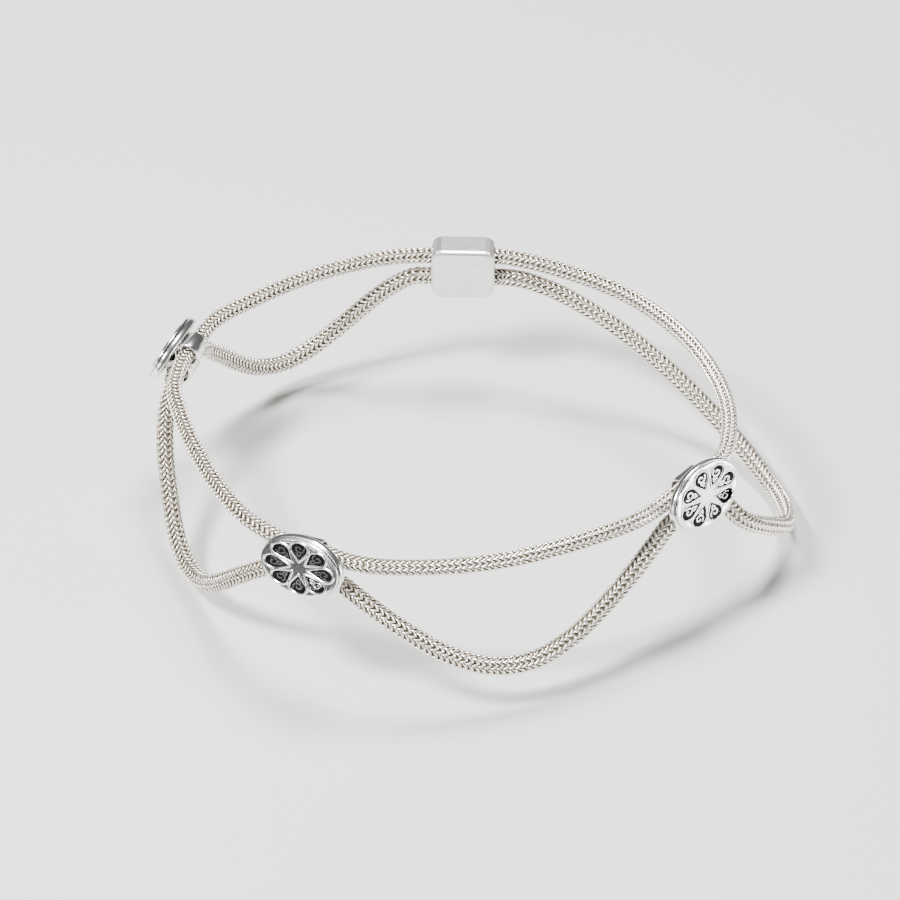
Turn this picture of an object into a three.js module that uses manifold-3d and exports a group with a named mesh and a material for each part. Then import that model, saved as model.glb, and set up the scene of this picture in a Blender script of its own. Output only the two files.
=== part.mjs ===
// Anklet of two knitted silver chains that pass behind oval medallions.
// Units are millimetres. +Z is up, -Y is the front, and the origin is the centre
// of the ankle opening at the level of the upper chain.
import * as THREE from 'three';
import { mergeVertices } from 'three/addons/utils/BufferGeometryUtils.js';
import Module from 'manifold-3d';

const wasm = await Module();
wasm.setup();

// Ankle opening, measured between the middles of the upper chain
const RING_WIDTH = 76;
const RING_DEPTH = 74;

// Chains
const UPPER_CHAIN_DIAMETER = 2.3;
const LOWER_CHAIN_DIAMETER = 2.6;
const SWAG_DEPTH = 13;
const SWAG_NEARNESS = 0.84;
const CHAIN_SIDES = 10;
const CHAIN_STEPS = 100;

// Medallion plate
const PLATE_LENGTH = 12.7;
const PLATE_WIDTH = 8.6;
const PLATE_SIDES = 36;
const BODY_THICKNESS = 1;
const BODY_ROUNDING = 0.3;
const FACE_THICKNESS = 0.38;
const FACE_INSET = 0.3;
const FACE_ROUNDING = 0.15;

// Petals in the plate
const PETAL_COUNT = 8;
const PETAL_DEPTH = 0.5;
const RIDGE_WIDTH = 0.22;
const RIDGE_RISE = 0.12;
const SCROLL_WIDTH = 0.24;
const SCROLL_RISE = 0.3;

// Tubes on the back of a plate
const CHAIN_CLEARANCE = 0.3;
const TUBE_LENGTH = 3.6;
const TUBE_WALL = 0.3;
const TUBE_SIDES = 16;
const SOLDER_DEPTH = 0.2;

// Clasp
const CLASP_LENGTH = 9;
const CLASP_WALL = 0.7;
const CLASP_CORNER = 1.4;
const CLASP_ROUNDING = 0.5;
const SOCKET_DEPTH = 3;

// How far solids that are soldered or cut run into each other
const OVERRUN = 0.1;

// Petal outline, as shares of the half axes of the face
const PETAL = { tip: 0.25, centre: 0.665, round: 0.215, segments: 7 };

// Open curl in a petal: radius as a share of the petal's round end, angles in degrees
const SCROLL = { radius: 0.5, start: 60, sweep: 270, segments: 6 };

// Places where both chains are held. x and y are shares of half the ring's width and depth,
// heading and rise turn the long axis and lean tips the face upward.
const STATIONS = {
  medallion_1: { x: -0.476, y: -0.902, heading: -32, rise: 5, lean: 13 },
  medallion_2: { x: 0.835, y: -0.5, heading: 48, rise: 9, lean: 20 },
  clasp: { x: 0.05, y: 0.98, heading: 178, rise: 0, lean: 0 },
  medallion_3: { x: -0.94, y: 0.35, heading: -110, rise: 2, lean: 26 },
};

// Stretches between the stations, in the order of the chains from one end to the other.
// route holds the upper chain's chosen points: x as a share of half the ring's width, y and z as
// shares of half its depth.
// The lower chain's swag is lowest at a share of the stretch and its depth is a share of the swag
// depth. A greater ease makes it leave its ends more slowly, and its lean is how far it stands out
// from the vertical at the stretch's two ends.
const STRETCHES = [
  {
    from: 'clasp',
    to: 'medallion_3',
    lowest: 0.5,
    depth: 1,
    ease: 1.85,
    lean: [12, 12],
    route: [[-0.24, 0.965, 0], [-0.5, 0.85, 0], [-0.72, 0.68, 0], [-0.86, 0.54, 0]],
  },
  {
    from: 'medallion_3',
    to: 'medallion_1',
    lowest: 0.525,
    depth: 1.12,
    ease: 1.7,
    lean: [9, 5],
    route: [
      [-0.99, 0.1, 0],
      [-0.95, -0.12, 0],
      [-0.884, -0.34, 0],
      [-0.795, -0.56, 0],
      [-0.7, -0.722, 0],
      [-0.585, -0.825, -0.01],
    ],
  },
  {
    from: 'medallion_1',
    to: 'medallion_2',
    lowest: 0.47,
    depth: 0.93,
    ease: 1.85,
    lean: [25, 8],
    route: [
      [-0.345, -0.975, 0],
      [-0.235, -1.005, 0],
      [-0.016, -1.005, 0],
      [0.2, -0.962, 0],
      [0.42, -0.868, 0],
      [0.63, -0.73, -0.01],
      [0.711, -0.632, -0.027],
    ],
  },
  {
    from: 'medallion_2',
    to: 'clasp',
    lowest: 0.32,
    depth: 1.4,
    ease: 1.85,
    lean: [32, 14],
    route: [
      [0.953, -0.36, 0],
      [0.992, -0.16, 0],
      [0.98, 0.06, 0],
      [0.87, 0.4, 0],
      [0.66, 0.7, 0],
      [0.38, 0.9, 0],
    ],
  },
];

// Shares of a stretch at which the lower chain's swag is placed
const SWAG_PLACES = [0.06, 0.13, 0.21, 0.3, 0.4, 0.5, 0.6, 0.7, 0.79, 0.87, 0.94];

const UP = new THREE.Vector3(0, 0, 1);
const radians = THREE.MathUtils.degToRad;

// Each chain's tube: its bore, outer radius and axis in the plate's frame. The long axis of the
// plate is x, its upper edge is at +y and its face looks along +z.
function chainTube(diameter, side) {
  const bore = diameter / 2 + CHAIN_CLEARANCE;
  return { diameter, bore, outer: bore + TUBE_WALL, side };
}

const UPPER = chainTube(UPPER_CHAIN_DIAMETER, 1);
const LOWER = chainTube(LOWER_CHAIN_DIAMETER, -1);
const TUBE_PITCH = UPPER.outer + LOWER.outer - TUBE_WALL;
const PLATE_BACK = UPPER.outer - SOLDER_DEPTH;
for (const tube of [UPPER, LOWER]) {
  tube.y = tube.side * TUBE_PITCH / 2;
  tube.z = PLATE_BACK + SOLDER_DEPTH - tube.outer;
}

// Closed meshes into solids, and back
function toSolid(geometry) {
  geometry.deleteAttribute('normal');
  geometry.deleteAttribute('uv');
  const merged = mergeVertices(geometry, 1e-5);
  return new wasm.Manifold(new wasm.Mesh({
    numProp: 3,
    vertProperties: new Float32Array(merged.attributes.position.array),
    triVerts: new Uint32Array(merged.index.array),
  }));
}

function toGeometry(solid) {
  const mesh = solid.getMesh();
  const geometry = new THREE.BufferGeometry();
  geometry.setAttribute('position', new THREE.BufferAttribute(mesh.vertProperties, 3));
  geometry.setIndex(new THREE.BufferAttribute(mesh.triVerts, 1));
  geometry.computeVertexNormals();
  return geometry;
}

function join(solids) {
  return solids.reduce((sum, solid) => sum.add(solid));
}

function cut(solid, tools) {
  return tools.reduce((rest, tool) => rest.subtract(tool), solid);
}

// Closed outlines as lists of points
function oval(halfLength, halfWidth, sides) {
  return Array.from({ length: sides }, (_, i) => {
    const angle = 2 * Math.PI * i / sides;
    return new THREE.Vector2(halfLength * Math.cos(angle), halfWidth * Math.sin(angle));
  });
}

function roundedBox(length, width, rounding) {
  const corners = [[1, 1, 0], [-1, 1, 90], [-1, -1, 180], [1, -1, 270]];
  return corners.flatMap(([sideX, sideY, start]) => [0, 30, 60, 90].map((step) => {
    const angle = radians(start + step);
    return new THREE.Vector2(
      sideX * (length / 2 - rounding) + rounding * Math.cos(angle),
      sideY * (width / 2 - rounding) + rounding * Math.sin(angle),
    );
  }));
}

// The direction square to a line of points at one of them
function sideways(before, after) {
  const along = after.clone().sub(before).normalize();
  return new THREE.Vector2(along.y, -along.x);
}

function grown(outline, distance) {
  return outline.map((point, i) => {
    const before = outline[(i + outline.length - 1) % outline.length];
    const after = outline[(i + 1) % outline.length];
    return point.clone().addScaledVector(sideways(before, after), distance);
  });
}

function ribbon(line, width) {
  const normals = line.map((_, i) => sideways(
    line[Math.max(i - 1, 0)],
    line[Math.min(i + 1, line.length - 1)],
  ));
  const right = line.map((point, i) => point.clone().addScaledVector(normals[i], width / 2));
  const left = line.map((point, i) => point.clone().addScaledVector(normals[i], -width / 2));
  return [...right, ...left.reverse()];
}

// Slab of an outline from one level to another, with its edges rounded inward
function slab(outline, bottom, top, rounding = 0) {
  const geometry = new THREE.ExtrudeGeometry(new THREE.Shape(outline), {
    depth: top - bottom - 2 * rounding,
    bevelEnabled: rounding > 0,
    bevelThickness: rounding,
    bevelSize: rounding,
    bevelOffset: -rounding,
    bevelSegments: 2,
  });
  geometry.translate(0, 0, bottom + rounding);
  return toSolid(geometry);
}

// Rod along x, whose flats lie on or outside its radius
function rod(radius, length, x, tube) {
  const corner = radius / Math.cos(Math.PI / TUBE_SIDES);
  const geometry = new THREE.CylinderGeometry(corner, corner, length, TUBE_SIDES);
  geometry.rotateZ(Math.PI / 2);
  geometry.translate(x, tube.y, tube.z);
  return toSolid(geometry);
}

// Medallion
const BODY_TOP = PLATE_BACK + BODY_THICKNESS;
const FACE_TOP = BODY_TOP + FACE_THICKNESS;
const PETAL_FLOOR = FACE_TOP - PETAL_DEPTH;
const FACE_HALF_LENGTH = PLATE_LENGTH / 2 - FACE_INSET;
const FACE_HALF_WIDTH = PLATE_WIDTH / 2 - FACE_INSET;

// A point given as a share of the face, at an angle round its centre
function facePoint(along, across, angle) {
  const turned = new THREE.Vector2(along, across).rotateAround(new THREE.Vector2(), angle);
  return new THREE.Vector2(turned.x * FACE_HALF_LENGTH, turned.y * FACE_HALF_WIDTH);
}

// Teardrop with its tip toward the centre and straight flanks that meet the round end
function petalOutline(angle) {
  const half = Math.acos(PETAL.round / (PETAL.centre - PETAL.tip));
  const opening = Math.PI - half;
  const rim = Array.from({ length: PETAL.segments + 1 }, (_, i) => {
    const around = opening * (2 * i / PETAL.segments - 1);
    return facePoint(
      PETAL.centre + PETAL.round * Math.cos(around),
      PETAL.round * Math.sin(around),
      angle,
    );
  });
  return [facePoint(PETAL.tip, 0, angle), ...rim];
}

function scrollOutline(angle, hand) {
  const line = Array.from({ length: SCROLL.segments + 1 }, (_, i) => {
    const around = hand * radians(SCROLL.start + SCROLL.sweep * i / SCROLL.segments);
    const radius = SCROLL.radius * PETAL.round;
    return facePoint(
      PETAL.centre + radius * Math.cos(around),
      radius * Math.sin(around),
      angle,
    );
  });
  return ribbon(hand > 0 ? line : line.reverse(), SCROLL_WIDTH);
}

function medallionSolid() {
  const angles = Array.from(
    { length: PETAL_COUNT },
    (_, i) => 2 * Math.PI * i / PETAL_COUNT,
  );
  const body = oval(PLATE_LENGTH / 2, PLATE_WIDTH / 2, PLATE_SIDES);
  const face = oval(FACE_HALF_LENGTH, FACE_HALF_WIDTH, PLATE_SIDES);
  const ridges = angles.map((angle) => slab(
    grown(petalOutline(angle), RIDGE_WIDTH),
    FACE_TOP - OVERRUN,
    FACE_TOP + RIDGE_RISE,
  ));
  const petals = angles.map((angle) => slab(
    petalOutline(angle),
    PETAL_FLOOR,
    FACE_TOP + RIDGE_RISE + OVERRUN,
  ));
  const scrolls = angles.map((angle, i) => slab(
    scrollOutline(angle, i % 2 ? 1 : -1),
    PETAL_FLOOR - OVERRUN,
    PETAL_FLOOR + SCROLL_RISE,
  ));
  const tubes = [UPPER, LOWER].map((tube) => rod(tube.outer, TUBE_LENGTH, 0, tube));
  const bores = [UPPER, LOWER].map((tube) => rod(tube.bore, TUBE_LENGTH + OVERRUN, 0, tube));
  const plate = join([
    slab(body, PLATE_BACK, BODY_TOP, BODY_ROUNDING),
    slab(face, BODY_TOP - OVERRUN, FACE_TOP, FACE_ROUNDING),
    ...ridges,
  ]);
  return cut(join([cut(plate, petals), ...scrolls, ...tubes]), bores);
}

// Clasp: a plain block with a socket for each end of each chain
function claspSolid() {
  const height = TUBE_PITCH + UPPER.bore + LOWER.bore + 2 * CLASP_WALL;
  const thickness = 2 * (LOWER.bore + CLASP_WALL);
  const middle = { y: (UPPER.bore - LOWER.bore) / 2, z: LOWER.z };
  const outline = roundedBox(CLASP_LENGTH, height, CLASP_CORNER)
    .map((point) => point.add(new THREE.Vector2(0, middle.y)));
  const block = slab(
    outline,
    middle.z - thickness / 2,
    middle.z + thickness / 2,
    CLASP_ROUNDING,
  );
  const socketLength = SOCKET_DEPTH + OVERRUN;
  const socketPlace = CLASP_LENGTH / 2 - SOCKET_DEPTH + socketLength / 2;
  const sockets = [UPPER, LOWER].flatMap((tube) => [-1, 1].map(
    (end) => rod(tube.bore, socketLength, end * socketPlace, tube),
  ));
  return cut(block, sockets);
}

// Where a station stands: the upper chain's axis passes through its place on the ring
function stationMatrix(name) {
  const station = STATIONS[name];
  const heading = radians(station.heading);
  const rise = radians(station.rise);
  const lean = radians(station.lean);
  const outward = new THREE.Vector3(Math.sin(heading), -Math.cos(heading), 0);
  const long = new THREE.Vector3(Math.cos(heading), Math.sin(heading), 0)
    .multiplyScalar(Math.cos(rise))
    .addScaledVector(UP, Math.sin(rise));
  const upright = new THREE.Vector3().crossVectors(outward, long);
  const normal = outward.multiplyScalar(Math.cos(lean)).addScaledVector(upright, Math.sin(lean));
  const across = new THREE.Vector3().crossVectors(normal, long);
  const place = new THREE.Vector3(station.x * RING_WIDTH / 2, station.y * RING_DEPTH / 2, 0)
    .addScaledVector(across, -UPPER.y)
    .addScaledVector(normal, -UPPER.z);
  return new THREE.Matrix4().makeBasis(long, across, normal).setPosition(place);
}

// Points of a chain on a station's tube axis, at distances along it
function axisPoints(name, tube, distances) {
  const matrix = stationMatrix(name);
  return distances.map((x) => new THREE.Vector3(x, tube.y, tube.z).applyMatrix4(matrix));
}

// Half the length over which a station holds a chain straight
function holdLength(name) {
  return name === 'clasp' ? CLASP_LENGTH / 2 : TUBE_LENGTH / 2;
}

function upperStretch(stretch) {
  return stretch.route.map(
    ([x, y, z]) => new THREE.Vector3(x * RING_WIDTH, y * RING_DEPTH, z * RING_DEPTH)
      .divideScalar(2),
  );
}

// The lower chain follows the upper one, nearer to it than the tubes are to each other, and is
// carried down and out in a swag
function lowerStretch(stretch) {
  const ends = (tube) => [
    axisPoints(stretch.from, tube, [holdLength(stretch.from)])[0],
    axisPoints(stretch.to, tube, [-holdLength(stretch.to)])[0],
  ];
  const [upperStart, upperEnd] = ends(UPPER);
  const [lowerStart, lowerEnd] = ends(LOWER);
  const upper = smooth([upperStart, ...upperStretch(stretch), upperEnd]);
  const startOffset = lowerStart.clone().sub(upperStart);
  const endOffset = lowerEnd.clone().sub(upperEnd);
  return SWAG_PLACES.map((share) => {
    const lean = radians(THREE.MathUtils.lerp(...stretch.lean, share));
    const skewed = share ** (Math.log(0.5) / Math.log(stretch.lowest));
    const fall = Math.sin(Math.PI * skewed) ** stretch.ease;
    const depth = SWAG_DEPTH * stretch.depth * fall;
    const tangent = upper.getTangentAt(share);
    const outward = new THREE.Vector3(tangent.y, -tangent.x, 0).normalize();
    return upper.getPointAt(share)
      .addScaledVector(startOffset.clone().lerp(endOffset, share), SWAG_NEARNESS)
      .addScaledVector(outward, depth * Math.sin(lean))
      .addScaledVector(UP, -depth * Math.cos(lean));
  });
}

function smooth(points) {
  const curve = new THREE.CatmullRomCurve3(points, false, 'centripetal');
  curve.arcLengthDivisions = points.length * CHAIN_STEPS;
  return curve;
}

// The whole chain, from one socket of the clasp through the three medallions to the other socket
function chainGeometry(tube, stretchPoints) {
  const end = CLASP_LENGTH / 2 - SOCKET_DEPTH + CHAIN_CLEARANCE;
  const mouth = CLASP_LENGTH / 2;
  const hold = TUBE_LENGTH / 2;
  const settle = tube.diameter / 2;
  const points = STRETCHES.flatMap((stretch) => [
    ...(stretch.from === 'clasp'
      ? axisPoints('clasp', tube, [end, mouth, mouth + settle])
      : axisPoints(stretch.from, tube, [-hold - settle, -hold, hold, hold + settle])),
    ...stretchPoints(stretch),
  ]);
  points.push(...axisPoints('clasp', tube, [-mouth - settle, -mouth, -end]));
  const section = oval(tube.diameter / 2, tube.diameter / 2, CHAIN_SIDES);
  return new THREE.ExtrudeGeometry(new THREE.Shape(section), {
    steps: CHAIN_STEPS,
    extrudePath: smooth(points),
  });
}

// Parts
function silver(color, roughness) {
  return new THREE.MeshStandardMaterial({ color, roughness, metalness: 1 });
}

function named(name, geometry, material) {
  const mesh = new THREE.Mesh(geometry, material);
  mesh.name = name;
  return mesh;
}

function held(name, solid, material) {
  const mesh = named(name, toGeometry(solid), material);
  mesh.applyMatrix4(stationMatrix(name));
  return mesh;
}

const anklet = new THREE.Group();
for (const name of ['medallion_1', 'medallion_2', 'medallion_3']) {
  anklet.add(held(name, medallionSolid(), silver(0xe6e5e2, 0.2)));
}
anklet.add(held('clasp', claspSolid(), silver(0xdedcd8, 0.25)));
anklet.add(named('upper_chain', chainGeometry(UPPER, upperStretch), silver(0xd9d5cb, 0.35)));
anklet.add(named('lower_chain', chainGeometry(LOWER, lowerStretch), silver(0xdad6cc, 0.35)));

export default anklet;
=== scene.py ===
"""Anklet of two knitted silver chains behind oval medallions, in metres."""
import math

import bmesh
import bpy
import numpy as np
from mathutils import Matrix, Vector

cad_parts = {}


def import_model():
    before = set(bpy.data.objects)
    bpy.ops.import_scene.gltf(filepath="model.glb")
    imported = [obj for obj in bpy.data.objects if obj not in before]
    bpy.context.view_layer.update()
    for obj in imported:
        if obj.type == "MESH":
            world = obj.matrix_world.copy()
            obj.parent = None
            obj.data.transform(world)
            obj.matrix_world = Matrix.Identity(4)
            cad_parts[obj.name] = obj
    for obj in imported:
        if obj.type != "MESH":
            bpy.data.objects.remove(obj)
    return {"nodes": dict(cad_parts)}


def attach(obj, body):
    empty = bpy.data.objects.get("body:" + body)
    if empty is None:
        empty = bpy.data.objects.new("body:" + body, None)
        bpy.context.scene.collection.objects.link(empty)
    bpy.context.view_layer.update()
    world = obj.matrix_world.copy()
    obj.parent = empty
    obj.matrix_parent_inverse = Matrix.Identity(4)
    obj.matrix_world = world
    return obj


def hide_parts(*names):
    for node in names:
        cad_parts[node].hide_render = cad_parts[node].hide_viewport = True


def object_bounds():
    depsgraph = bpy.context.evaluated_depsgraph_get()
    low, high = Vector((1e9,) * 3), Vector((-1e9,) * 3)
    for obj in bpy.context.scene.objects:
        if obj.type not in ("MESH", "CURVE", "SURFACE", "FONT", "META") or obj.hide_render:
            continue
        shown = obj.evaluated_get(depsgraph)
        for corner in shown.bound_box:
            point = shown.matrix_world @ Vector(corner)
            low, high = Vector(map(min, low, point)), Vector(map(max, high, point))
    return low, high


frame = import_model()
CAD_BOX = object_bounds()
MM = 0.001

# Sizes in millimetres, as in the part's source
RING = np.array([76.0, 74.0]) / 2
UPPER_CHAIN_DIAMETER = 2.3
LOWER_CHAIN_DIAMETER = 2.6
CHAIN_CLEARANCE = 0.3
TUBE_WALL = 0.3
TUBE_LENGTH = 3.6
SOLDER_DEPTH = 0.2
SWAG_DEPTH = 13.0
SWAG_NEARNESS = 0.84
PLATE_LENGTH = 12.7
PLATE_WIDTH = 8.6
BODY_THICKNESS = 1.0
FACE_THICKNESS = 0.38
FACE_INSET = 0.3
PETAL_COUNT = 8
PETAL_DEPTH = 0.5
RIDGE_WIDTH = 0.22
RIDGE_RISE = 0.12
CLASP_LENGTH = 9.0
SOCKET_DEPTH = 3.0
# A petal's tip, the middle of its round end and that end's radius, as shares of the face
PETAL_TIP, PETAL_CENTRE, PETAL_ROUND = 0.25, 0.665, 0.215

# Places as shares of the ring's half width and half depth, and angles in degrees
STATIONS = {
    "medallion_1": dict(x=-0.476, y=-0.902, heading=-32, rise=5, lean=13),
    "medallion_2": dict(x=0.835, y=-0.5, heading=48, rise=9, lean=20),
    "clasp": dict(x=0.05, y=0.98, heading=178, rise=0, lean=0),
    "medallion_3": dict(x=-0.94, y=0.35, heading=-110, rise=2, lean=26),
}
# The upper chain's route between two stations, and how the lower chain hangs below it
STRETCHES = [
    dict(start="clasp", end="medallion_3",
         lowest=0.5, depth=1.0, ease=1.85, lean=(12, 12),
         route=[(-0.24, 0.965, 0), (-0.5, 0.85, 0), (-0.72, 0.68, 0), (-0.86, 0.54, 0)]),
    dict(start="medallion_3", end="medallion_1",
         lowest=0.525, depth=1.12, ease=1.7, lean=(9, 5),
         route=[(-0.99, 0.1, 0), (-0.95, -0.12, 0), (-0.884, -0.34, 0), (-0.795, -0.56, 0),
                (-0.7, -0.722, 0), (-0.585, -0.825, -0.01)]),
    dict(start="medallion_1", end="medallion_2",
         lowest=0.47, depth=0.93, ease=1.85, lean=(25, 8),
         route=[(-0.345, -0.975, 0), (-0.235, -1.005, 0), (-0.016, -1.005, 0), (0.2, -0.962, 0),
                (0.42, -0.868, 0), (0.63, -0.73, -0.01), (0.711, -0.632, -0.027)]),
    dict(start="medallion_2", end="clasp",
         lowest=0.32, depth=1.4, ease=1.85, lean=(32, 14),
         route=[(0.953, -0.36, 0), (0.992, -0.16, 0), (0.98, 0.06, 0), (0.87, 0.4, 0),
                (0.66, 0.7, 0), (0.38, 0.9, 0)]),
]
SWAG_PLACES = [0.06, 0.13, 0.21, 0.3, 0.4, 0.5, 0.6, 0.7, 0.79, 0.87, 0.94]
UP = np.array([0.0, 0.0, 1.0])


class Tube:
    """A chain's diameter and the bore, radius and axis of the tube that holds it."""

    def __init__(self, diameter, side):
        self.diameter = diameter
        self.bore = diameter / 2 + CHAIN_CLEARANCE
        self.outer = self.bore + TUBE_WALL
        self.side = side


UPPER = Tube(UPPER_CHAIN_DIAMETER, 1)
LOWER = Tube(LOWER_CHAIN_DIAMETER, -1)
TUBE_PITCH = UPPER.outer + LOWER.outer - TUBE_WALL
PLATE_BACK = UPPER.outer - SOLDER_DEPTH
for tube in (UPPER, LOWER):
    tube.y = tube.side * TUBE_PITCH / 2
    tube.z = PLATE_BACK + SOLDER_DEPTH - tube.outer
BODY_TOP = PLATE_BACK + BODY_THICKNESS
FACE_TOP = BODY_TOP + FACE_THICKNESS


# The route of the chains

SAMPLES_PER_POINT = 60
TANGENT_REACH = 0.15


def unit(v):
    return v / np.linalg.norm(v)


def station(name):
    """Place of a station, and its long axis, its upward edge and its outward face."""
    s = STATIONS[name]
    heading, rise, lean = (math.radians(s[k]) for k in ("heading", "rise", "lean"))
    outward = np.array([math.sin(heading), -math.cos(heading), 0])
    along = np.array([math.cos(heading), math.sin(heading), 0]) * math.cos(rise)
    along = along + UP * math.sin(rise)
    normal = outward * math.cos(lean) + np.cross(outward, along) * math.sin(lean)
    across = np.cross(normal, along)
    place = np.array([s["x"] * RING[0], s["y"] * RING[1], 0])
    return place - across * UPPER.y - normal * UPPER.z, np.array([along, across, normal])


def local_to_world(name, points):
    place, axes = station(name)
    return place + np.atleast_2d(points) @ axes


def axis_points(name, tube, distances):
    return local_to_world(name, [(x, tube.y, tube.z) for x in distances])


def hold(name):
    """Distance from a station's middle to where it lets go of the chains."""
    return CLASP_LENGTH / 2 if name == "clasp" else TUBE_LENGTH / 2


class Smooth:
    """Centripetal curve through points, read by its length."""

    def __init__(self, points):
        self.p = np.array(points, float)
        shares = np.linspace(0, 1, len(self.p) * SAMPLES_PER_POINT)
        self.q = np.array([self.raw(share) for share in shares])
        steps = np.linalg.norm(np.diff(self.q, axis=0), axis=1)
        self.s = np.concatenate([[0], np.cumsum(steps)])
        self.length = self.s[-1]

    def raw(self, u):
        p = self.p
        place = u * (len(p) - 1)
        i = min(int(place), len(p) - 2)
        w = place - i
        p1, p2 = p[i], p[i + 1]
        p0 = p[i - 1] if i > 0 else 2 * p[0] - p[1]
        p3 = p[i + 2] if i + 2 < len(p) else 2 * p[-1] - p[-2]
        d0, d1, d2 = (math.sqrt(np.linalg.norm(b - a)) for a, b in ((p0, p1), (p1, p2), (p2, p3)))
        t1 = ((p1 - p0) / d0 - (p2 - p0) / (d0 + d1) + (p2 - p1) / d1) * d1
        t2 = ((p2 - p1) / d1 - (p3 - p1) / (d1 + d2) + (p3 - p2) / d2) * d1
        c2 = -3 * p1 + 3 * p2 - 2 * t1 - t2
        c3 = 2 * p1 - 2 * p2 + t1 + t2
        return p1 + t1 * w + c2 * w * w + c3 * w ** 3

    def at(self, s):
        s = np.atleast_1d(s)
        return np.stack([np.interp(s, self.s, self.q[:, k]) for k in range(3)], 1)

    def tangent(self, s):
        d = self.at(np.asarray(s) + TANGENT_REACH) - self.at(np.asarray(s) - TANGENT_REACH)
        return d / np.linalg.norm(d, axis=1)[:, None]


def upper_stretch(stretch):
    return np.array([(x * RING[0], y * RING[1], z * RING[1]) for x, y, z in stretch["route"]])


def stretch_ends(stretch, tube):
    first = axis_points(stretch["start"], tube, [hold(stretch["start"])])[0]
    last = axis_points(stretch["end"], tube, [-hold(stretch["end"])])[0]
    return first, last


def lower_stretch(stretch):
    """Points of the swag: the upper chain's route, moved down and leant outward."""
    upper_first, upper_last = stretch_ends(stretch, UPPER)
    lower_first, lower_last = stretch_ends(stretch, LOWER)
    upper = Smooth([upper_first, *upper_stretch(stretch), upper_last])
    first_lean, last_lean = stretch["lean"]
    points = []
    for share in SWAG_PLACES:
        lean = math.radians(first_lean + (last_lean - first_lean) * share)
        skewed = share ** (math.log(0.5) / math.log(stretch["lowest"]))
        depth = SWAG_DEPTH * stretch["depth"] * math.sin(math.pi * skewed) ** stretch["ease"]
        t = upper.tangent([share * upper.length])[0]
        outward = unit(np.array([t[1], -t[0], 0]))
        offset = (lower_first - upper_first) * (1 - share) + (lower_last - upper_last) * share
        base = upper.at([share * upper.length])[0] + offset * SWAG_NEARNESS
        points.append(base + outward * depth * math.sin(lean) - UP * depth * math.cos(lean))
    return np.array(points)


def chain_route(tube, stretch_points):
    """A chain's whole loop, from one socket of the clasp round to the other."""
    end = CLASP_LENGTH / 2 - SOCKET_DEPTH + CHAIN_CLEARANCE
    mouth = CLASP_LENGTH / 2
    half = TUBE_LENGTH / 2
    settle = tube.diameter / 2
    points = []
    for stretch in STRETCHES:
        if stretch["start"] == "clasp":
            points.extend(axis_points("clasp", tube, [end, mouth, mouth + settle]))
        else:
            places = [-half - settle, -half, half, half + settle]
            points.extend(axis_points(stretch["start"], tube, places))
        points.extend(stretch_points(stretch))
    points.extend(axis_points("clasp", tube, [-mouth - settle, -mouth, -end]))
    return Smooth(points)


# Materials

CLOUD_DETAIL = 6
CLOUD_DARK = 0.3
CLOUD_BRIGHT = 0.62
FINE_DETAIL = 4
FINE_TIMES = 9
SILVER_RELIEF = 0.02
# Tint of the painted shade on the wire's flanks and sunk parts, and how far up its crest the
# silver is unshaded
GROOVE_SHADE_TINT = (0.52, 0.46, 0.37)
UNSHADED_FROM = 0.45


def material(name):
    m = bpy.data.materials.new(name)
    m.use_nodes = True
    return m, m.node_tree.nodes, m.node_tree.links


def noise(nodes, scale, detail):
    texture = nodes.new("ShaderNodeTexNoise")
    texture.inputs["Scale"].default_value = scale
    texture.inputs["Detail"].default_value = detail
    return texture


def colour_ramp(nodes, low, low_colour, high, high_colour):
    ramp = nodes.new("ShaderNodeValToRGB")
    first, last = ramp.color_ramp.elements
    first.position = low
    first.color = (*low_colour, 1)
    last.position = high
    last.color = (*high_colour, 1)
    return ramp


def add_relief(nodes, links, height, strength, distance):
    """A bump on the shader, with its distance in millimetres."""
    relief = nodes.new("ShaderNodeBump")
    relief.inputs["Strength"].default_value = strength
    relief.inputs["Distance"].default_value = distance * MM
    links.new(height.outputs["Fac"], relief.inputs["Height"])
    links.new(relief.outputs["Normal"], nodes["Principled BSDF"].inputs["Normal"])


def paint_groove_shade(nodes, links, colour):
    """The colour, darker with painted shade where the crest attribute is low."""
    crest = nodes.new("ShaderNodeAttribute")
    crest.attribute_name = "crest"
    depth = colour_ramp(nodes, 0.0, GROOVE_SHADE_TINT, UNSHADED_FROM, (1, 1, 1))
    links.new(crest.outputs["Fac"], depth.inputs["Fac"])
    tint = nodes.new("ShaderNodeMix")
    tint.data_type = "RGBA"
    tint.blend_type = "MULTIPLY"
    tint.inputs["Factor"].default_value = 1.0
    links.new(colour, tint.inputs["A"])
    links.new(depth.outputs["Color"], tint.inputs["B"])
    return tint.outputs["Result"]


def silver(name, bright, dark, roughness, wear, scale, bump, grooved=False):
    """Silver with a cloudy polish, fine wear and a bump; grooved adds painted shade off the
    crests.
    """
    m, nodes, links = material(name)
    shader = nodes["Principled BSDF"]
    shader.inputs["Metallic"].default_value = 1.0
    place = nodes.new("ShaderNodeTexCoord")
    cloud = noise(nodes, scale, CLOUD_DETAIL)
    fine = noise(nodes, scale * FINE_TIMES, FINE_DETAIL)
    for texture in (cloud, fine):
        links.new(place.outputs["Object"], texture.inputs["Vector"])
    ramp = colour_ramp(nodes, CLOUD_DARK, dark, CLOUD_BRIGHT, bright)
    links.new(cloud.outputs["Fac"], ramp.inputs["Fac"])
    colour = ramp.outputs["Color"]
    if grooved:
        colour = paint_groove_shade(nodes, links, colour)
    links.new(colour, shader.inputs["Base Color"])
    rough = nodes.new("ShaderNodeMapRange")
    rough.inputs["To Min"].default_value = roughness
    rough.inputs["To Max"].default_value = roughness + wear
    links.new(fine.outputs["Fac"], rough.inputs["Value"])
    links.new(rough.outputs["Result"], shader.inputs["Roughness"])
    add_relief(nodes, links, fine, bump, SILVER_RELIEF)
    return m


# Painted shade darkens the wires' flanks and sunk parts, from the crest attribute
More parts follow.
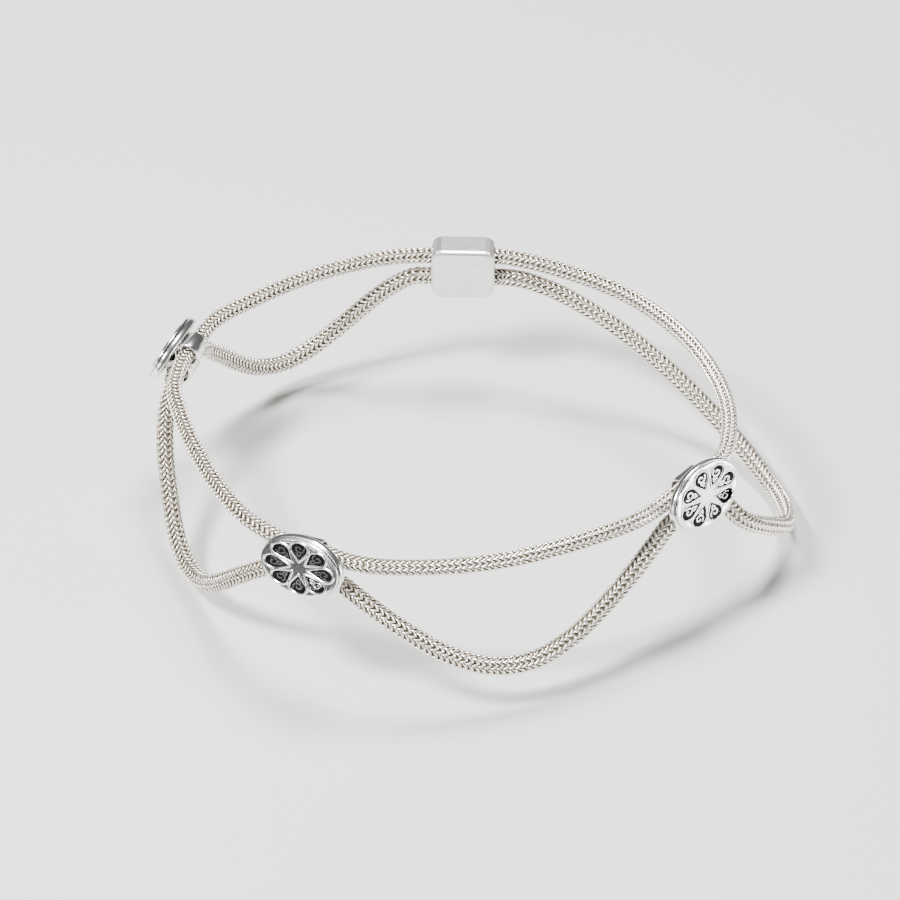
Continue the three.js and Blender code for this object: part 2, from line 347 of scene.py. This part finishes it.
WIRE = silver("knitted_silver", bright=(0.99, 0.955, 0.89), dark=(0.93, 0.89, 0.82),
              roughness=0.24, wear=0.12, scale=900, bump=0.4, grooved=True)
# Painted shade: a dark brownish silver on the tube in the chain's middle, standing for the shade
# between the wires
PAINTED_SHADE_CORE = silver("painted_shade_tube", bright=(0.42, 0.37, 0.29), dark=(0.26, 0.225, 0.17),
              roughness=0.5, wear=0.2, scale=900, bump=0.4)
POLISHED = silver("polished_silver", bright=(0.96, 0.96, 0.95), dark=(0.9, 0.9, 0.885),
                  roughness=0.13, wear=0.12, scale=700, bump=0.25)
OXIDISED = silver("oxidised_silver", bright=(0.018, 0.0175, 0.017), dark=(0.004, 0.004, 0.0045),
                  roughness=0.45, wear=0.3, scale=1600, bump=1.0)
BACKS = silver("soft_silver", bright=(0.88, 0.87, 0.85), dark=(0.78, 0.77, 0.74),
               roughness=0.3, wear=0.2, scale=600, bump=0.5)


# Meshes

# Points closer than this many millimetres are one point
WELD = 0.0002


def mesh_object(name, points, faces, materials, indices=None, crest=None):
    """A smooth mesh of points in millimetres, with a material for each face."""
    mesh = bpy.data.meshes.new(name)
    points = np.asarray(points, dtype=np.float32) * MM
    faces = np.asarray(faces, dtype=np.int32)
    mesh.vertices.add(len(points))
    mesh.vertices.foreach_set("co", points.ravel())
    mesh.loops.add(faces.size)
    mesh.loops.foreach_set("vertex_index", faces.ravel())
    mesh.polygons.add(len(faces))
    mesh.polygons.foreach_set("loop_start", np.arange(len(faces), dtype=np.int32) * faces.shape[1])
    for m in materials:
        mesh.materials.append(m)
    if indices is not None:
        mesh.polygons.foreach_set("material_index", np.asarray(indices, dtype=np.int32))
    mesh.polygons.foreach_set("use_smooth", np.ones(len(faces), dtype=bool))
    if crest is not None:
        mesh.attributes.new("crest", "FLOAT", "POINT").data.foreach_set("value", crest.ravel())
    mesh.update(calc_edges=True)
    mesh.validate()
    piece = bpy.data.objects.new(name, mesh)
    bpy.context.collection.objects.link(piece)
    return piece


def ring_faces(rows, sides, first=0):
    """Quads between rows of a closed section."""
    i, j = np.meshgrid(np.arange(rows - 1), np.arange(sides), indexing="ij")
    k = (j + 1) % sides
    quads = np.stack([i * sides + j, i * sides + k, (i + 1) * sides + k, (i + 1) * sides + j], -1)
    return quads.reshape(-1, 4) + first


def full_turn(sides):
    return np.arange(sides) * 2 * math.pi / sides


def close_mesh(piece):
    """Welds coincident seams, fills the open ends and points all faces outward."""
    bm = bmesh.new()
    bm.from_mesh(piece.data)
    bmesh.ops.remove_doubles(bm, verts=bm.verts, dist=WELD * MM)
    bmesh.ops.holes_fill(bm, edges=bm.edges, sides=0)
    bmesh.ops.recalc_face_normals(bm, faces=bm.faces)
    bm.to_mesh(piece.data)
    bm.free()


# Knitted chain

STITCH = 0.84
COLUMNS = 6
WIRE_RADIUS = 0.16
WIRE_SIDES = 5
# Depth at which a wire's crest gets the full painted shade of its flanks
SUNK = 0.5
# One stitch: angle from its column's middle as a share of half a column, place along the
# chain as a share of the pitch, and depth below the outside in millimetres
LOOP = np.array([
    (-0.66, -0.4, 0.6),
    (-0.92, -0.14, 0.34),
    (-0.84, 0.18, 0.08),
    (-0.46, 0.62, 0.0),
    (0.0, 0.98, 0.04),
    (0.46, 0.62, 0.0),
    (0.84, 0.18, 0.08),
    (0.92, -0.14, 0.34),
    (0.66, -0.4, 0.6),
])
FIRST_STITCH = 0.3
COLUMN_SHIFT = 0.5
# Spread of a stitch's width as a share, angle in radians, and place and depth in millimetres
UNEVEN = dict(width=0.03, angle=0.02, place=0.02, depth=0.012)
ROUTE_STEP = 0.12
ROUTE_SPARE = 0.05
CORE_ROWS = 240
CORE_SIDES = 12
CORE_GAP = 0.2


def carried_frames(route, places):
    """Points and two square directions along a route, carried without twist."""
    points = route.at(places)
    tangents = route.tangent(places)
    side = unit(np.cross(tangents[0], UP))
    sides = []
    for t in tangents:
        side = unit(side - t * (side @ t))
        sides.append(side)
    sides = np.array(sides)
    return points, sides, np.cross(tangents, sides)


def stitch_loops(route, diameter, spin, seed):
    """Each stitch's points as angle round the chain, place along it and radius."""
    rng = np.random.default_rng(seed)
    reach = diameter / 2 - WIRE_RADIUS
    column_angle = 2 * math.pi / COLUMNS
    loops = []
    for stitch in range(int(route.length / STITCH) - 1):
        for column in range(COLUMNS):
            start = (stitch + FIRST_STITCH + COLUMN_SHIFT * (column % 2)) * STITCH
            loop = LOOP.copy()
            loop[:, 0] *= column_angle / 2 * (1 + rng.normal(0, UNEVEN["width"]))
            loop[:, 0] += column * column_angle + spin + rng.normal(0, UNEVEN["angle"])
            loop[:, 1] = start + loop[:, 1] * STITCH + rng.normal(0, UNEVEN["place"])
            loop[:, 2] = reach - loop[:, 2] - abs(rng.normal(0, UNEVEN["depth"]))
            loops.append(loop)
    return np.array(loops)


def on_route(route, loops):
    """The loops' points in space, and their directions away from the chain's middle."""
    rows = np.arange(0, route.length + ROUTE_SPARE, ROUTE_STEP)
    place = np.clip(loops[..., 1], 0, route.length) / ROUTE_STEP
    i = np.minimum(place.astype(int), len(rows) - 2)
    w = (place - i)[..., None]
    frames = carried_frames(route, rows)
    at, side, up = (values[i] * (1 - w) + values[i + 1] * w for values in frames)
    angle = loops[..., 0, None]
    radial = side * np.cos(angle) + up * np.sin(angle)
    return at + radial * loops[..., 2, None], radial


def wire_points(line, radial, turns):
    """Rings of points round lines of wire, whose first point lies outward."""
    along = np.gradient(line, axis=1)
    along /= np.linalg.norm(along, axis=2, keepdims=True)
    first = radial - along * (radial * along).sum(2, keepdims=True)
    first /= np.linalg.norm(first, axis=2, keepdims=True)
    second = np.cross(along, first)
    ring = (first[:, :, None, :] * np.cos(turns)[:, None]
            + second[:, :, None, :] * np.sin(turns)[:, None])
    return line[:, :, None, :] + ring * WIRE_RADIUS


def knitted_chain(name, route, diameter, spin, seed):
    """Interlocked wire loops in columns, with a crest value for painted shade that is low on the
    flanks.
    """
    line, radial = on_route(route, stitch_loops(route, diameter, spin, seed))
    turns = full_turn(WIRE_SIDES)
    points = wire_points(line, radial, turns)
    per_loop = len(LOOP) * WIRE_SIDES
    faces = np.concatenate([
        ring_faces(len(LOOP), WIRE_SIDES, n * per_loop) for n in range(len(line))
    ])
    # Painted shade: the crest value falls towards the wire's inner side and the deep parts of each
    # loop
    raised = 1 - np.clip(LOOP[:, 2] / SUNK, 0, 1)
    crest = np.broadcast_to(np.cos(turns) * raised[:, None], points.shape[:3])
    return mesh_object(name, points.reshape(-1, 3), faces, [WIRE],
                       crest=np.array(crest, dtype=np.float32))


def painted_shade_tube(name, route, diameter):
    """A dark tube in the chain's middle, painted shade that shows between the wires."""
    places = np.linspace(0, route.length, CORE_ROWS)
    centre, sides, ups = carried_frames(route, places)
    turns = full_turn(CORE_SIDES)
    radius = diameter / 2 - 2 * WIRE_RADIUS - CORE_GAP
    ring = (sides[:, None, :] * np.cos(turns)[:, None] + ups[:, None, :] * np.sin(turns)[:, None])
    points = centre[:, None, :] + ring * radius
    return mesh_object(name, points.reshape(-1, 3), ring_faces(CORE_ROWS, CORE_SIDES), [PAINTED_SHADE_CORE])


# Medallion

PLATE_SIDES = 300
FACE_ROWS = 104
FACE_START = 0.004
FACE_EDGE = 0.16
CROWN = 0.04
# The soft raised band near the face's edge
BORDER = dict(rise=0.05, place=0.93, width=0.05)
TEARDROP_STEPS = 28
WALL_WIDTH = 0.1
RIDGE_FOOT = 0.03
WALL_TOP = 0.6
SCROLL_RISE = 0.42
SCROLL_RADIUS = 0.13
# Spirals in a petal: first angle and sweep in degrees, radii as shares of the petal's round end
CURL = dict(start=70, sweep=380, first=0.64, shrink=0.46, steps=24, back=0.0)
COUNTER_CURL = dict(start=20, sweep=280, first=0.3, shrink=0.12, steps=12, back=0.17)
STEM_ALONG = np.array([0.4, 0.47])
STEM_ACROSS = np.array([-0.012, 0.03])
# What lies deeper than this in a petal is oxidised
DARK_FROM = 0.26
# The rim's section: distance out from the face's outline, and height
RIM = [
    (-0.08, FACE_TOP - 0.03),
    (-0.02, FACE_TOP - 0.1),
    (0.0, FACE_TOP - 0.2),
    (-0.01, BODY_TOP + 0.06),
    (-0.07, BODY_TOP - 0.02),
    (-0.05, BODY_TOP - 0.05),
    (0.03, BODY_TOP - 0.01),
    (0.12, BODY_TOP - 0.05),
    (0.22, BODY_TOP - 0.15),
    (0.28, BODY_TOP - 0.3),
    (0.3, BODY_TOP - 0.45),
    (0.3, PLATE_BACK + 0.3),
    (0.28, PLATE_BACK + 0.15),
    (0.2, PLATE_BACK + 0.05),
    (0.05, PLATE_BACK),
]
# Rows of the rim between which its groove is oxidised
GROOVE = (3, 5)
BACK_SHARES = (0.7, 0.4, 0.02)
# The holder tubes' rounded mouths, in millimetres
MOUTH = 0.12
MOUTH_NEAR = 0.03
MOUTH_FAR = 0.04
HOLDER_SIDES = 40
FAR = 1e9
TINY = 1e-12


def to_face(along, across, angle):
    """Points of a petal, turned to its place and stretched to the oval face."""
    c, s = math.cos(angle), math.sin(angle)
    half = np.array([PLATE_LENGTH / 2 - FACE_INSET, PLATE_WIDTH / 2 - FACE_INSET])
    return np.stack([along * c - across * s, along * s + across * c], -1) * half


def teardrop(angle):
    half = math.acos(PETAL_ROUND / (PETAL_CENTRE - PETAL_TIP))
    opening = math.pi - half
    around = np.linspace(-opening, opening, TEARDROP_STEPS)
    along = np.concatenate([[PETAL_TIP], PETAL_CENTRE + PETAL_ROUND * np.cos(around)])
    across = np.concatenate([[0], PETAL_ROUND * np.sin(around)])
    return to_face(along, across, angle)


def spiral(shape, angle, hand):
    t = np.linspace(0, 1, shape["steps"])
    turn = hand * np.radians(shape["start"] + shape["sweep"] * t)
    radius = PETAL_ROUND * (shape["first"] - shape["shrink"] * t)
    along = PETAL_CENTRE - shape["back"] + radius * np.cos(turn)
    return to_face(along, radius * np.sin(turn), angle)


def scroll(angle, hand):
    """A curl, a smaller counter curl and a short stem that fill a petal."""
    stem = to_face(STEM_ALONG, STEM_ACROSS * hand, angle)
    return [spiral(CURL, angle, hand), spiral(COUNTER_CURL, angle, -hand), stem]


def distance(points, line, closed):
    """Distance of points to a line of points, and whether they lie inside it."""
    a = line
    b = np.roll(line, -1, axis=0)
    if not closed:
        a, b = line[:-1], line[1:]
    best = np.full(len(points), FAR)
    inside = np.zeros(len(points), bool)
    for p, q in zip(a, b):
        d = q - p
        t = np.clip(((points - p) @ d) / (d @ d), 0, 1)
        best = np.minimum(best, np.linalg.norm(points - p - t[:, None] * d, axis=1))
        if closed:
            crosses = (p[1] > points[:, 1]) != (q[1] > points[:, 1])
            span = q[1] - p[1] if q[1] != p[1] else TINY
            inside ^= crosses & (points[:, 0] < p[0] + (points[:, 1] - p[1]) / span * d[0])
    return best, inside


def petal_floor(points, angle, hand):
    """Height of a petal's floor with its raised scroll."""
    floor_height = np.full(len(points), -PETAL_DEPTH)
    for line in scroll(angle, hand):
        near, _ = distance(points, line, False)
        wire = np.sqrt(np.clip(1 - (near / SCROLL_RADIUS) ** 2, 0, 1))
        floor_height = np.maximum(floor_height, -PETAL_DEPTH + SCROLL_RISE * wire)
    return floor_height


def face_height(points):
    """Height of the face above its plane in millimetres, and how deep it lies in a petal."""
    height = np.zeros(len(points))
    depth = np.zeros(len(points))
    for n in range(PETAL_COUNT):
        angle = 2 * math.pi * n / PETAL_COUNT
        d, inside = distance(points, teardrop(angle), True)
        signed = np.where(inside, d, -d)
        wall = np.clip(signed / WALL_WIDTH, 0, 1)
        wall = wall * wall * (3 - 2 * wall)
        from_ridge = (signed + RIDGE_WIDTH / 2) / (RIDGE_WIDTH / 2 + RIDGE_FOOT)
        ridge = np.clip(1 - from_ridge ** 2, 0, 1)
        height = np.maximum(height, RIDGE_RISE * np.sqrt(ridge) * (signed <= 0))
        sunk = petal_floor(points, angle, 1 if n % 2 else -1) * wall
        petal = inside & (signed > 0)
        height = np.where(petal, RIDGE_RISE * (1 - wall) * WALL_TOP + sunk, height)
        depth = np.where(petal, -sunk, depth)
    return height, depth


def face_rows(circle, face_half):
    """The face's points from the middle out to its rounded edge, and their depths."""
    shares = np.linspace(FACE_START, 1, FACE_ROWS)
    flat = (circle[None] * shares[:, None, None] * (face_half - FACE_EDGE)).reshape(-1, 2)
    height, depth = face_height(flat)
    share = np.repeat(shares, PLATE_SIDES)
    border = BORDER["rise"] * np.exp(-((share - BORDER["place"]) / BORDER["width"]) ** 2)
    level = FACE_TOP - CROWN * share ** 2 + border + height
    return np.column_stack([flat, level]), depth.reshape(FACE_ROWS, PLATE_SIDES)


def medallion(name):
    """Plate with a petalled face, a grooved rim and a flat back."""
    angles = full_turn(PLATE_SIDES)
    circle = np.stack([np.cos(angles), np.sin(angles)], -1)
    face_half = np.array([PLATE_LENGTH, PLATE_WIDTH]) / 2 - FACE_INSET
    face, face_depth = face_rows(circle, face_half)
    rings = [(face_half + grow, level) for grow, level in RIM]
    rings += [(face_half * share, PLATE_BACK) for share in BACK_SHARES]
    rows = [face]
    for half, level in rings:
        rows.append(np.column_stack([circle * half, np.full(PLATE_SIDES, level)]))
    depth = np.concatenate([face_depth, np.zeros((len(rings), PLATE_SIDES))])
    dark = ((depth[:-1] + depth[1:]) / 2 > DARK_FROM).astype(int)
    dark[FACE_ROWS + GROOVE[0]:FACE_ROWS + GROOVE[1]] = 1
    return mesh_object(name + "_plate", local_to_world(name, np.concatenate(rows)),
                       ring_faces(len(depth), PLATE_SIDES), [POLISHED, OXIDISED], dark.ravel())


def mouth_section(end, outer, bore):
    """A tube's rounded mouth as places and radii, from its outside to its bore."""
    inward = -math.copysign(1, end)
    return [
        (end + inward * MOUTH, outer),
        (end + inward * MOUTH_NEAR, outer - MOUTH_FAR),
        (end, outer - MOUTH),
        (end, bore + MOUTH),
        (end + inward * MOUTH_NEAR, bore + MOUTH_FAR),
        (end + inward * MOUTH, bore),
    ]


def holder_tube(name, tube):
    """A plain tube on the back, with rounded mouths."""
    half = TUBE_LENGTH / 2
    far_mouth = mouth_section(half, tube.outer, tube.bore)
    near_mouth = mouth_section(-half, tube.outer, tube.bore)
    section = [near_mouth[0], *far_mouth, *reversed(near_mouth)]
    turns = full_turn(HOLDER_SIDES)
    rows = [np.column_stack([np.full(HOLDER_SIDES, x), tube.y + radius * np.cos(turns),
                             tube.z + radius * np.sin(turns)]) for x, radius in section]
    label = "upper" if tube.side > 0 else "lower"
    return mesh_object(f"{name}_{label}_tube", local_to_world(name, np.concatenate(rows)),
                       ring_faces(len(section), HOLDER_SIDES), [POLISHED])


# Camera: the photograph looks down on the anklet's front
# from above, and the render stands a little closer

PHOTO_TILT = 35
PHOTO_DISTANCE = 700.0
PHOTO_PIXELS_PER_MM = 4.6
PICTURE_WIDTH = 900
SENSOR = 36
CLOSER = 1.6
TARGET = np.array([0.0, -4.0, -5.0])
CLIP_START = 0.01


def facing(place, target, axis):
    """The rotation that turns an object's axis from its place to a target."""
    return (Vector(target) - Vector(place)).to_track_quat(axis, "Y").to_euler()


def look(place, target, focal):
    data = bpy.data.cameras.new("camera")
    data.lens = focal
    data.clip_start = CLIP_START
    camera = bpy.data.objects.new("camera", data)
    bpy.context.collection.objects.link(camera)
    camera.location = place
    camera.rotation_euler = facing(place, target, "-Z")
    bpy.context.scene.camera = camera


def place_camera():
    tilt = math.radians(PHOTO_TILT)
    place = np.array([0, -math.cos(tilt), math.sin(tilt)]) * PHOTO_DISTANCE
    focal = PHOTO_PIXELS_PER_MM * PHOTO_DISTANCE * SENSOR / PICTURE_WIDTH
    look(place * MM, TARGET * MM, CLOSER * focal)


place_camera()

# The pieces: each chain's spin of its columns and seed of its unevenness

for label, stretch_points, tube, spin, seed in (
    ("upper_chain", upper_stretch, UPPER, 0.35, 3),
    ("lower_chain", lower_stretch, LOWER, 0.1, 5),
):
    route = chain_route(tube, stretch_points)
    wires = knitted_chain(label + "_wires", route, tube.diameter, spin, seed)
    shade_tube = painted_shade_tube(label + "_core", route, tube.diameter)
    for piece in (wires, shade_tube):
        close_mesh(piece)
        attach(piece, "root")
    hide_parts(label)

for name in ("medallion_1", "medallion_2", "medallion_3"):
    plate = medallion(name)
    tubes = [holder_tube(name, tube) for tube in (UPPER, LOWER)]
    for piece in (plate, *tubes):
        close_mesh(piece)
        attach(piece, "root")
    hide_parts(name)

clasp = frame["nodes"]["clasp"]
for slot in clasp.material_slots:
    slot.material = BACKS


# Floor and light, in metres

FLOOR_HALF = 3.0
FLOOR_GAP = 0.0004
FLOOR_COLOUR = (0.6, 0.595, 0.585, 1)
FLOOR_ROUGHNESS = 0.75
PAPER = dict(scale=60, detail=5, strength=0.05, distance=0.1)
CARD_COLOUR = (0.02, 0.02, 0.02, 1)
CARD_ROUGHNESS = 0.9
# The card's place, what it faces and its size, in millimetres
CARD = dict(place=(-56, -56, -8), target=(-18, -33, -3), size=(60, 26))
LAMPS = [
    dict(name="key", place=(-0.3, -0.2, 0.5), size=(0.12, 0.12), power=11.0),
    dict(name="right", place=(0.42, -0.12, 0.07), size=(0.34, 0.2), power=1.8),
    dict(name="left", place=(-0.35, -0.3, 0.12), size=(0.3, 0.16), power=0.9),
    dict(name="top", place=(0.05, 0.2, 0.6), size=(0.2, 0.2), power=8.0),
]
WORLD_LEVEL = 0.12


def sheet(name, x, y, z):
    """A flat rectangle of half sizes x and y at a height."""
    mesh = bpy.data.meshes.new(name)
    mesh.from_pydata([(-x, -y, z), (x, -y, z), (x, y, z), (-x, y, z)], [], [(0, 1, 2, 3)])
    piece = bpy.data.objects.new(name, mesh)
    bpy.context.collection.objects.link(piece)
    return piece


def plain_material(name, colour, roughness):
    m, nodes, links = material(name)
    shader = nodes["Principled BSDF"]
    shader.inputs["Base Color"].default_value = colour
    shader.inputs["Roughness"].default_value = roughness
    return m, nodes, links


def floor():
    plane = sheet("floor", FLOOR_HALF, FLOOR_HALF, CAD_BOX[0][2] - FLOOR_GAP)
    m, nodes, links = plain_material("floor", FLOOR_COLOUR, FLOOR_ROUGHNESS)
    paper = noise(nodes, PAPER["scale"], PAPER["detail"])
    add_relief(nodes, links, paper, PAPER["strength"], PAPER["distance"])
    plane.data.materials.append(m)


def flag(place, target, size):
    """A dark card that only shows as a reflection in the silver."""
    card = sheet("flag", size[0] / 2 * MM, size[1] / 2 * MM, 0)
    card.location = Vector(place) * MM
    card.rotation_euler = facing(place, target, "Z")
    card.visible_camera = False
    card.visible_shadow = False
    card.visible_diffuse = False
    m, _, _ = plain_material("flag", CARD_COLOUR, CARD_ROUGHNESS)
    card.data.materials.append(m)


def lamp(name, place, size, power):
    """A soft lamp that faces the anklet's middle."""
    data = bpy.data.lights.new(name, "AREA")
    data.shape = "RECTANGLE"
    data.size, data.size_y = size
    data.energy = power
    light = bpy.data.objects.new(name, data)
    bpy.context.collection.objects.link(light)
    light.location = place
    light.rotation_euler = facing(place, (0, 0, 0), "-Z")


def world(level):
    w = bpy.data.worlds.new("studio")
    bpy.context.scene.world = w
    w.use_nodes = True
    w.node_tree.nodes["Background"].inputs["Color"].default_value = (1, 1, 1, 1)
    w.node_tree.nodes["Background"].inputs["Strength"].default_value = level


floor()
flag(**CARD)
for settings in LAMPS:
    lamp(**settings)
world(WORLD_LEVEL)
